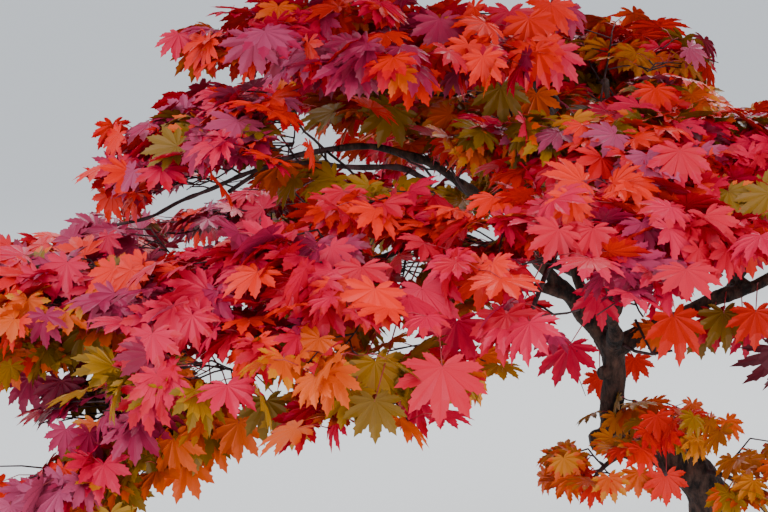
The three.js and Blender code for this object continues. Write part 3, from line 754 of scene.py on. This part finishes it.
def young_shoot(name, colour):
    """Leaf stalks: smooth, red and slightly waxy."""
    material = new_material(name)
    place = add_node(material, "TexCoord")
    mottle = add_node(material, "TexNoise", SHOOT_MOTTLES, {"Vector": place.outputs["Object"]})
    gloss = add_node(material, "MapRange", SHOOT_ROUGH, {"Value": mottle.outputs[0]})
    paint = {"Base Color": linear(colour)}
    shader = add_node(material, "BsdfPrincipled", paint, {"Roughness": gloss.outputs[0]})
    return finish_material(material, shader)


# The lilac tint is a painted sheen, the pale sky mirrored on leaves that lie nearly level; the mauve tint is
# partly the leaves' own colour and partly that painted sheen.
TINTS = {
    "crimson": "#c40028",
    "rose": "#cc0038",
    "scarlet": "#d40014",
    "coral": "#e42008",
    "mauve": "#a42048",
    "wine": "#861834",
    "lilac_sheen": "#ac4060",
    "orange": "#d85408",
    "amber": "#cc7808",
    "olive": "#805c08",
    "gold": "#a4740c",
    "maroon": "#5c1624",
}
TINT_NAMES = list(TINTS)
# The tint that a leaf's lobes turn to first, from the tips in.
TURNS_TO = {
    "crimson": "rose", "rose": "crimson", "scarlet": "crimson", "coral": "scarlet", "mauve": "wine",
    "wine": "mauve", "lilac_sheen": "mauve", "orange": "amber", "amber": "orange", "olive": "orange",
    "gold": "olive", "maroon": "maroon",
}
NEXT_TINT = [TINT_NAMES.index(TURNS_TO[name]) for name in TINT_NAMES]
TURNING = 0.35
blades = [leaf_blade("leaf_" + name, colour) for name, colour in TINTS.items()]
limb_bark = maple_bark("maple_bark_old", **OLD_BARK)
twig_bark = maple_bark("maple_bark_young", **YOUNG_BARK)
stalk_skin = young_shoot("leaf_stalk", "#a8323a")

# How often each tint comes up among a mass's outer sprays, and in the shade below. The lilac tint is a
# painted sheen and the mauve one is partly a painted sheen.
OUTER = {
    "top": {"mauve": 3, "rose": 4, "coral": 4, "lilac_sheen": 1.5, "crimson": 1, "orange": 1},
    "crown": {"scarlet": 1.5, "coral": 5, "crimson": 1, "rose": 4, "orange": 2, "mauve": 1.5, "olive": 0.5},
    "far": {"coral": 6, "orange": 3, "rose": 4, "lilac_sheen": 2, "olive": 1, "gold": 1, "amber": 1},
    "left": {"mauve": 4, "lilac_sheen": 1.5, "rose": 4, "coral": 2, "wine": 0.5, "olive": 0.5},
    "edge": {"coral": 4, "rose": 3, "mauve": 2, "scarlet": 1, "orange": 1},
    "low": {"mauve": 4, "lilac_sheen": 2, "rose": 3, "coral": 2, "orange": 2},
    "skirt": {"rose": 6, "crimson": 5, "coral": 2.5, "mauve": 1, "orange": 0.5},
    "shoulder": {"rose": 5, "crimson": 4, "scarlet": 1, "coral": 2.5, "lilac_sheen": 1, "olive": 0.3},
    "shoot": {"orange": 5, "amber": 5, "coral": 1, "olive": 1, "gold": 1},
}
SHADE = {
    "top": {"orange": 3, "olive": 3, "coral": 3, "rose": 2},
    "crown": {"scarlet": 1, "orange": 3, "olive": 2, "coral": 4, "rose": 2},
    "far": {"orange": 3, "olive": 2, "gold": 1.5, "coral": 4, "lilac_sheen": 1},
    "left": {"wine": 1, "orange": 3, "olive": 3, "gold": 3, "rose": 1},
    "edge": {"orange": 4, "olive": 2, "gold": 3, "coral": 2},
    "low": {"orange": 5, "gold": 3, "amber": 2, "olive": 1},
    "skirt": {"olive": 5, "gold": 5, "orange": 3, "rose": 1},
    "shoulder": {"olive": 3, "gold": 2, "orange": 3, "rose": 2, "coral": 2},
    "shoot": {"orange": 3, "amber": 3, "gold": 2},
}
SLOTS = {"skirt": "leaf_crimson", "shoulder": "leaf_scarlet", "crown": "leaf_scarlet", "shoot": "leaf_orange"}
# Pads whose tints aren't their tier's.
ZONES = {
    "left_low": "low",
    "crown_left": "top",
    "crown_front": "top",
    "shoulder_left": "top",
    "shoulder_back": "far",
}
MAUVE_AND_SHEEN_FROM, EDGE_FROM = -0.62, -0.83  # the skirt turns mauve, partly a painted sheen, then coral at its end, left of here
FAR_ABOVE = 1.04  # the height from which the shoulder's leaves are the far ones


def zone_of(space, place):
    if space["name"] in ZONES:
        return ZONES[space["name"]]
    if space["tier"] == "skirt" and place[0] < MAUVE_AND_SHEEN_FROM:
        return "edge" if place[0] < EDGE_FROM else "left"
    if space["tier"] == "shoulder" and place[2] > FAR_ABOVE and space["name"] != "left_high":
        return "far"
    return "left" if space["name"] == "left_high" else space["tier"]


# The left pads' slot is the mauve tint, which is partly a painted sheen.
def slot_of(space):
    return "leaf_mauve" if space["name"].startswith("left") else SLOTS[space["tier"]]


def pick_tint(weights):
    names = list(weights)
    shares = np.array([weights[name] for name in names], float)
    return TINT_NAMES.index(names[rng.choice(len(names), p=shares / shares.sum())])


# Foliage
NEAR_START = 0.5  # what distance from a pad's foot counts, against distance from the twig's place


class Wood:
    """A pad's twigs so far, as sample points that new ones may spring from."""

    def __init__(self, start):
        self.start = start
        self.points = np.zeros((0, 3))
        self.girths = np.zeros(0)

    def add(self, line, base, tip, low=0.15, high=0.85, samples=12):
        shares = np.linspace(low, high, samples)
        at = shares * (len(line) - 1)
        line = np.asarray(line)
        i = np.minimum(at.astype(int), len(line) - 2)
        w = (at - i)[:, None]
        self.points = np.vstack([self.points, line[i] * (1 - w) + line[i + 1] * w])
        self.girths = np.append(self.girths, base + (tip - base) * shares)

    def springing(self, place):
        """The point and girth that a twig to a place springs from: near it, and not too far out."""
        cost = np.linalg.norm(self.points - place, axis=1)
        cost += NEAR_START * np.linalg.norm(self.points - self.start, axis=1)
        best = int(np.argmin(cost))
        return self.points[best], self.girths[best]


limb_points = []
limb_girths = []
for limb in limbs.values():
    for share in np.linspace(0, 1, LIMB_SAMPLES):
        limb_points.append(limb["curve"](share))
        limb_girths.append(limb["radius"](share))
limb_points = np.array(limb_points)
limb_girths = np.array(limb_girths)


def clear_of_limbs(point, margin=0.006):
    return bool(np.all(np.linalg.norm(limb_points - point, axis=1) > limb_girths + margin))


def spray_places(space, count):
    """Round the pad by the golden angle, from its middle to its rim, some lower and nearer the middle."""
    out, across, up = space["axes"]
    half = space["half"]
    middle = space["middle"] - PLACES["back"] * half[0] * out
    for i in range(count):
        turn = math.radians(i * GOLDEN + jitter(PLACES["turn"]))
        share = math.sqrt((i + 0.5) / count)
        lower = i % LOWER["every"] in space["lower"]
        share *= LOWER["share"] if lower else 1
        height = LOWER["height"] - LOWER["fall"] * share if lower else PLACES["crest"] - DOME * share
        height += jitter(PLACES["jitter"])
        place = middle + math.cos(turn) * share * half[0] * PLACES["along"] * out
        place = place + math.sin(turn) * share * half[1] * PLACES["across"] * across
        yield place + height * half[2] * up, lower


def outness(space, point):
    a, b, _ = space["axes"] @ (point - space["middle"]) / space["half"]
    return min(1.0, math.hypot(a, b))


def grow_leaf(space, leaves, twigs, node, azimuth, hub, size, tint):
    """A leaf on its stalk from a node, where it stays in its pad and clear of the limbs."""
    way = heading(azimuth, STALK_TURN["rise"] + jitter(STALK_TURN["rise_jitter"]))
    palm = node + way * rng.uniform(*STALK["length"]) * size["stalk"]
    length = rng.uniform(*size["length"])
    outwards = azimuth_of(palm - hub)
    swing = (azimuth - outwards + 180) % 360 - 180
    facing = outwards + HANG["with_stalk"] * swing + jitter(HANG["turn"])
    slope = -(HANG["least"] + HANG["more"] * outness(space, palm)) + jitter(HANG["jitter"])
    towards = heading(facing, slope)
    if not (inside(space, palm + towards * LEAF_REACH * length, OVERHANG, LOOSE) and clear_of_limbs(palm)):
        return False
    roll = math.radians(jitter(HANG["roll"]))
    tips = NEXT_TINT[tint] if rng.random() < TURNING else tint
    if not add_leaf(leaves, palm, towards, roll, length, tint, tips):
        return False
    arch = (node + palm) / 2 + np.array([0, 0, STALK["arch"] * np.linalg.norm(palm - node)])
    end = palm + towards * LEAF_FOOT * length
    radius = STALK["radius"]
    tube(twigs, [node, arch, end], [radius * STALK["foot"], radius, radius], STALK["sides"], 1)
    return True


def grow_spray(space, leaves, twigs, wood, place, hub, size, lower):
    """A twig to a place, with side shoots that each hold up to four leaves, mostly of one tint."""
    up = space["axes"][2]
    root, girth = wood.springing(place)
    span = np.linalg.norm(place - root)
    wander = np.array([jitter(TWIG["wander"]), jitter(TWIG["wander"]), 0])
    bend = (root + place) / 2 - up * TWIG["arc"] * span + wander * span
    lift = up * TWIG["lift"] * span
    line = [root, (root + bend) / 2 + lift, bend, (bend + place) / 2 - lift, place]
    base = min(TWIG["root"], max(TWIG["tip"], TWIG["child"] * girth))
    tube(twigs, line, np.linspace(base, TWIG["tip"], len(line)), TWIG["sides"])
    wood.add(line, base, TWIG["tip"])
    zone = zone_of(space, place)
    shaded = lower or place[2] < space.get("shaded_below", 0)
    weights = (SHADE if shaded and rng.random() < SHADED else OUTER)[zone]
    tint = pick_tint(weights)
    outwards = azimuth_of(place - hub)
    line = np.array(line)
    spans = len(line) - 1
    for number in range(size["side_shoots"]):
        at = SHOOT_FROM + (1 - SHOOT_FROM) * (number + 1) / size["side_shoots"]
        i = min(int(at * spans), spans - 1)
        start = line[i] + (line[i + 1] - line[i]) * (at * spans - i)
        side = 1 if number % 2 else -1
        last = number == size["side_shoots"] - 1
        spread = 0 if last else side * (SHOOT_SPREAD["least"] + jitter(SHOOT_SPREAD["jitter"]))
        azimuth = outwards + spread + jitter(SHOOT_SPREAD["turn"])
        half = rng.uniform(*SHOOT_LENGTH) * size["stalk"] * 0.5
        middle = start + heading(azimuth, SHOOT_RISE["first"] + jitter(SHOOT_RISE["first_jitter"])) * half
        onwards = azimuth + jitter(SHOOT_RISE["turn"])
        end = middle + heading(onwards, SHOOT_RISE["last"] + jitter(SHOOT_RISE["last_jitter"])) * half
        grown = 0
        for node in (middle, end):
            for way in (-1, 1):
                own = tint if rng.random() < OWN_TINT else pick_tint(weights)
                turn = azimuth + way * (STALK_TURN["least"] + jitter(STALK_TURN["jitter"]))
                grown += grow_leaf(space, leaves, twigs, node, turn, hub, size, own)
        if grown:
            tube(twigs, [start, middle, end], TWIG["tip"] * SHOOT_TAPER, SHOOT_SIDES)


def grow_pad(space, start, first, size):
    """A mass: its stem, then its sprays one by one, each springing from the wood so far."""
    out = space["axes"][0]
    leaves, twigs, wood = Shapes(), Shapes(), Wood(start)
    stem_end = start + out * way_out(space, start, out) * STEM["reach"]
    crest = start + first * np.linalg.norm(stem_end - start) * STEM["crest"]
    bow = bezier(start, crest, crest, stem_end)
    line = [bow(share) for share in np.linspace(0, 1, STEM["rings"])]
    tube(twigs, line, np.linspace(STEM["base"], STEM["end"], STEM["rings"]), STEM["sides"])
    wood.add(line, STEM["base"], STEM["end"], low=0.08, high=0.95, samples=24)
    hub = start - out * HUB_BACK * size["stalk"]
    for place, lower in spray_places(space, size["sprays"]):
        if inside(space, place):
            grow_spray(space, leaves, twigs, wood, place, hub, size, lower)
    return leaves, twigs


def add_pieces(name, leaves, twigs, slot):
    """Two pieces, one of leaves and one of their twigs and stalks. Gives back the first."""
    foliage = mesh_from("leaves_" + name, leaves, blades, False)
    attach(foliage, "root")
    sticks = mesh_from("twigs_" + name, twigs, [twig_bark, stalk_skin], True)
    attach(sticks, "root")
    return foliage


def add_foliage(space, start, first, size):
    reseed(space["number"])
    leaves, twigs = grow_pad(space, start, first, size)
    foliage = add_pieces(space["name"], leaves, twigs, slot_of(space))
    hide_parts("foliage_" + space["name"])


for space in spaces:
    curve = limbs[space["name"]]["curve"]
    add_foliage(space, curve(1.0), tangent(curve, 1.0), LARGE)
for space in shoot_spaces:
    foot = trunk_point(space["along"])
    first = unit(space["middle"] - foot)
    add_foliage(space, foot + first * trunk_radius(space["along"]) * SHOOT_FOOT, first, SMALL)

SINGLE_ROLL = 20
LONG_STALK = {"base": 0.0012, "end": 0.0007, "sides": 5, "arch": 0.015, "rise": [0, 0, 0.03]}
FINE_LIMB = {"steps": 6, "sides": 8}
FINE_KNOBS = [(0.12, 70), (0.08, 113)]  # how high each wave of knobs is, and how close its knobs are
DEAD_TAPER, DEAD_SIDES = 0.6, 6


def add_single_leaves():
    """The leaves that show by themselves, each on a stalk from the nearest limb, and the bare twigs."""
    reseed(len(PADS) + len(SHOOTS))
    leaves, twigs = Shapes(), Shapes()
    for row in SINGLE_LEAVES:
        palm = np.array(row["palm"])
        towards = heading(row["azimuth"], row["slope"])
        tint = TINT_NAMES.index(row["tint"])
        roll = math.radians(jitter(SINGLE_ROLL))
        add_leaf(leaves, palm, towards, roll, row["length"], tint, tint, row["curl"])
        root = limb_points[np.argmin(np.linalg.norm(limb_points - palm - LONG_STALK["rise"], axis=1))]
        arch = (root + palm) / 2 + np.array([0, 0, LONG_STALK["arch"]])
        end = palm + towards * LEAF_FOOT * row["length"]
        line = [root, (root + arch) / 2, arch, (arch + palm) / 2, end]
        radii = np.linspace(LONG_STALK["base"], LONG_STALK["end"], len(line))
        tube(twigs, line, radii, LONG_STALK["sides"], 1)
    for points, base, end in FINE_LIMBS:
        bow = spline(points)
        shares = np.linspace(0, 1, FINE_LIMB["steps"] * len(points))
        line = [bow(share) for share in shares]
        knobs = 1 + sum(height * np.sin(close * shares) for height, close in FINE_KNOBS)
        tube(twigs, line, (base + (end - base) * shares) * knobs, FINE_LIMB["sides"])
    for line, radius in DEAD_TWIGS:
        tube(twigs, line, np.linspace(radius, radius * DEAD_TAPER, len(line)), DEAD_SIDES)
    add_pieces("fork", leaves, twigs, "leaf_crimson")


add_single_leaves()

# Trunk and boughs: round limbs gathered, fused by a fine remesh, then given the bark's relief.
VOXEL = 0.0027
BEND, BEND_TURNS = 0.0028, (27.0, 21.0, 33.0)  # a bough's small crooks, in X, Y and Z
TRUNK_RINGS, TRUNK_SIDES = 90, 20
BOUGH_RINGS, BOUGH_SIDES = 34, 12
BUTTRESS = {"turn": 0.6, "height": 0.09}
# Waves in the trunk's radius: how high, how many round it and how they wind up it
TRUNK_LUMPS = [(0.05, 3, 23), (0.04, 2, -41)]
COLLAR = {"swell": 0.35, "length": 0.03}  # where a bough leaves its parent
BOUGH_KNOBS = [(0.14, 31), (0.09, 67)]
STUB_SHAPE = [(0, 1.15), (0.5, 1.0), (0.85, 0.92), (1.0, 0.7)]  # along it, and its share of the radius
NEAR_AXIS = 0.9  # a stretch this close to an axis takes its first side from another
RELAX = (0.5, 3)  # how far, and how often
# The bark's plates: drawn out along Z, so many a metre, and how high they stand on a thin or thick limb
PLATES = {
    "drawn": 0.5, "close": 75, "ridges": (0.9, 2.1, 4, 1.0, 1.6), "level": 1.3, "share": 0.09,
    "most": 0.0017,
}
KNOBS = {"close": 26, "share": 0.15}


def trunk_skin(share, height, angle):
    """The trunk's radius, with its flare, its buttresses at the foot and its shallow lumps."""
    flare = FLARE["spread"] * math.exp(-height / FLARE["height"])
    buttress = FLARE["depth"] * math.cos(FLARE["buttresses"] * angle + BUTTRESS["turn"])
    buttress = 1 + buttress * math.exp(-height / BUTTRESS["height"])
    lumps = 1 + sum(size * math.sin(round_it * angle + up * share) for size, round_it, up in TRUNK_LUMPS)
    return trunk_radius(share) * (1 + flare) * buttress * lumps


def trunk_tube(shapes):
    side = np.array([1.0, 0, 0])
    rings = []
    for ring in range(TRUNK_RINGS + 1):
        share = ring / TRUNK_RINGS
        way = tangent(trunk_point, share)
        if abs(side @ way) > NEAR_AXIS:
            side = np.array([0, 1.0, 0])
        side = unit(side - way * (side @ way))
        across = np.cross(side, way)
        middle = trunk_point(share)
        skin = []
        for turn in np.arange(TRUNK_SIDES) * 2 * math.pi / TRUNK_SIDES:
            radius = trunk_skin(share, middle[2], turn)
            skin.append(middle + radius * (math.cos(turn) * side + math.sin(turn) * across))
        rings.append(skin)
    add_rings(shapes, rings, clockwise=True)


def bough_tube(shapes, name, limb):
    """A bough with its small crooks, its collar where it leaves its parent, and its knobs."""
    shares = np.linspace(0, 1, BOUGH_RINGS)
    line = np.array([limb["curve"](share) for share in shares])
    bends = np.sin(np.outer(shares, BEND_TURNS) + len(name)) * np.sin(math.pi * shares)[:, None]
    line += BEND * bends
    length = np.linalg.norm(np.diff(line, axis=0), axis=1).sum()
    (high, apart), (low, close) = BOUGH_KNOBS
    girths = []
    for share in shares:
        collar = COLLAR["swell"] * math.exp(-share * length / COLLAR["length"])
        knobs = high * math.sin(apart * share + len(name)) + low * math.sin(close * share)
        girths.append(limb["radius"](share) * (1 + collar + knobs))
    tube(shapes, line, girths, BOUGH_SIDES)


def stub_tube(shapes, stub):
    foot = trunk_point(stub["along"])
    end = foot + heading(stub["azimuth"], stub["rise"]) * stub["length"]
    line = [foot + (end - foot) * share for share, _ in STUB_SHAPE]
    tube(shapes, line, [stub["radius"] * girth for _, girth in STUB_SHAPE], BOUGH_SIDES)


def fuse(piece):
    """One skin round all the limbs, with the steps of the remesh smoothed out."""
    bpy.ops.object.select_all(action="DESELECT")
    piece.select_set(True)
    bpy.context.view_layer.objects.active = piece
    piece.data.remesh_voxel_size = VOXEL
    bpy.ops.object.voxel_remesh()
    relax = piece.modifiers.new("relax", "SMOOTH")
    relax.factor, relax.iterations = RELAX
    bpy.ops.object.modifier_apply(modifier="relax")


def vectors_of(mesh, what):
    values = np.zeros(len(mesh.vertices) * 3)
    mesh.vertices.foreach_get(what, values)
    return values.reshape(-1, 3)


def raise_bark(mesh):
    """Moves each point out or in by the bark's plates and by the limb's own knobs."""
    nearest = kdtree.KDTree(len(limb_points))
    for i, point in enumerate(limb_points):
        nearest.insert(point, i)
    nearest.balance()
    places, normals = vectors_of(mesh, "co"), vectors_of(mesh, "normal")
    for i in range(len(places)):
        place = Vector(places[i])
        girth = limb_girths[nearest.find(place)[1]]
        drawn = Vector((place.x, place.y, place.z * PLATES["drawn"])) * PLATES["close"]
        plates = noise.ridged_multi_fractal(drawn, *PLATES["ridges"]) - PLATES["level"]
        relief = plates * min(PLATES["share"] * girth, PLATES["most"])
        places[i] += normals[i] * (relief + noise.noise(place * KNOBS["close"]) * KNOBS["share"] * girth)
    places[:, 2] = np.maximum(places[:, 2], 0.0)
    mesh.vertices.foreach_set("co", places.ravel())
    mesh.update()


def add_trunk_and_boughs():
    shapes = Shapes()
    trunk_tube(shapes)
    for name, limb in limbs.items():
        if name != "trunk":
            bough_tube(shapes, name, limb)
    for stub in STUBS + LUMPS:
        stub_tube(shapes, stub)
    piece = mesh_from("trunk_and_boughs", shapes, [limb_bark], True)
    fuse(piece)
    raise_bark(piece.data)
    piece.data.materials.clear()
    piece.data.materials.append(limb_bark)
    piece.data.polygons.foreach_set("use_smooth", np.full(len(piece.data.polygons), True))
    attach(piece, "root")
    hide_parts("trunk", *["bough_" + space["name"] for space in spaces])


add_trunk_and_boughs()

# Floor, light and camera
FLOOR_SIZE = 80
SKY = {"colour": "#dfe6f4", "strength": 1.35}
CROWN_MIDDLE = (-0.35, 0.0, 1.0)
# Each light's place, the width of its disk, its watts and its colour
LIGHTS = {
    "key_light": ((-2.6, -2.6, 4.0), 2.6, 108, "#f2f0ff"),
    "fill_light": ((1.6, -3.4, 1.5), 3.0, 80, "#fff4ee"),
    "back_light": ((0.6, 3.2, 3.4), 2.4, 110, "#ffffff"),
}
LENS, SENSOR = 100, 36  # millimetres


def add_floor():
    bpy.ops.mesh.primitive_plane_add(size=FLOOR_SIZE, location=(0, 0, 0))
    floor = bpy.context.object
    floor.name = "floor"
    paint = new_material("pale_floor")
    shader = add_node(paint, "BsdfPrincipled", {"Base Color": linear("#dcdcd6"), "Roughness": 0.9})
    floor.data.materials.append(finish_material(paint, shader))
    floor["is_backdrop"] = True


def add_sky():
    world = bpy.data.worlds.new("soft_sky")
    bpy.context.scene.world = world
    world.use_nodes = True
    background = world.node_tree.nodes["Background"].inputs
    background["Color"].default_value = linear(SKY["colour"])
    background["Strength"].default_value = SKY["strength"]


def add_light(name, place, width, watts, colour):
    light = bpy.data.lights.new(name, "AREA")
    light.shape = "DISK"
    light.size = width
    light.energy = watts
    light.color = linear(colour)[:3]
    lamp = bpy.data.objects.new(name, light)
    lamp.location = place
    lamp.rotation_euler = (Vector(CROWN_MIDDLE) - Vector(place)).to_track_quat("-Z", "Y").to_euler()
    bpy.context.scene.collection.objects.link(lamp)


def add_camera():
    camera = bpy.data.objects.new("camera", bpy.data.cameras.new("camera"))
    bpy.context.scene.collection.objects.link(camera)
    camera.data.lens = LENS
    camera.data.sensor_width = SENSOR
    camera.location = EYE
    camera.rotation_euler = (math.radians(90 - EYE_FALL), 0, 0)
    bpy.context.scene.camera = camera


add_floor()
add_sky()
for name, settings in LIGHTS.items():
    add_light(name, *settings)
add_camera()

[[list(corner) for corner in box] for box in (cad_box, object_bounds())]
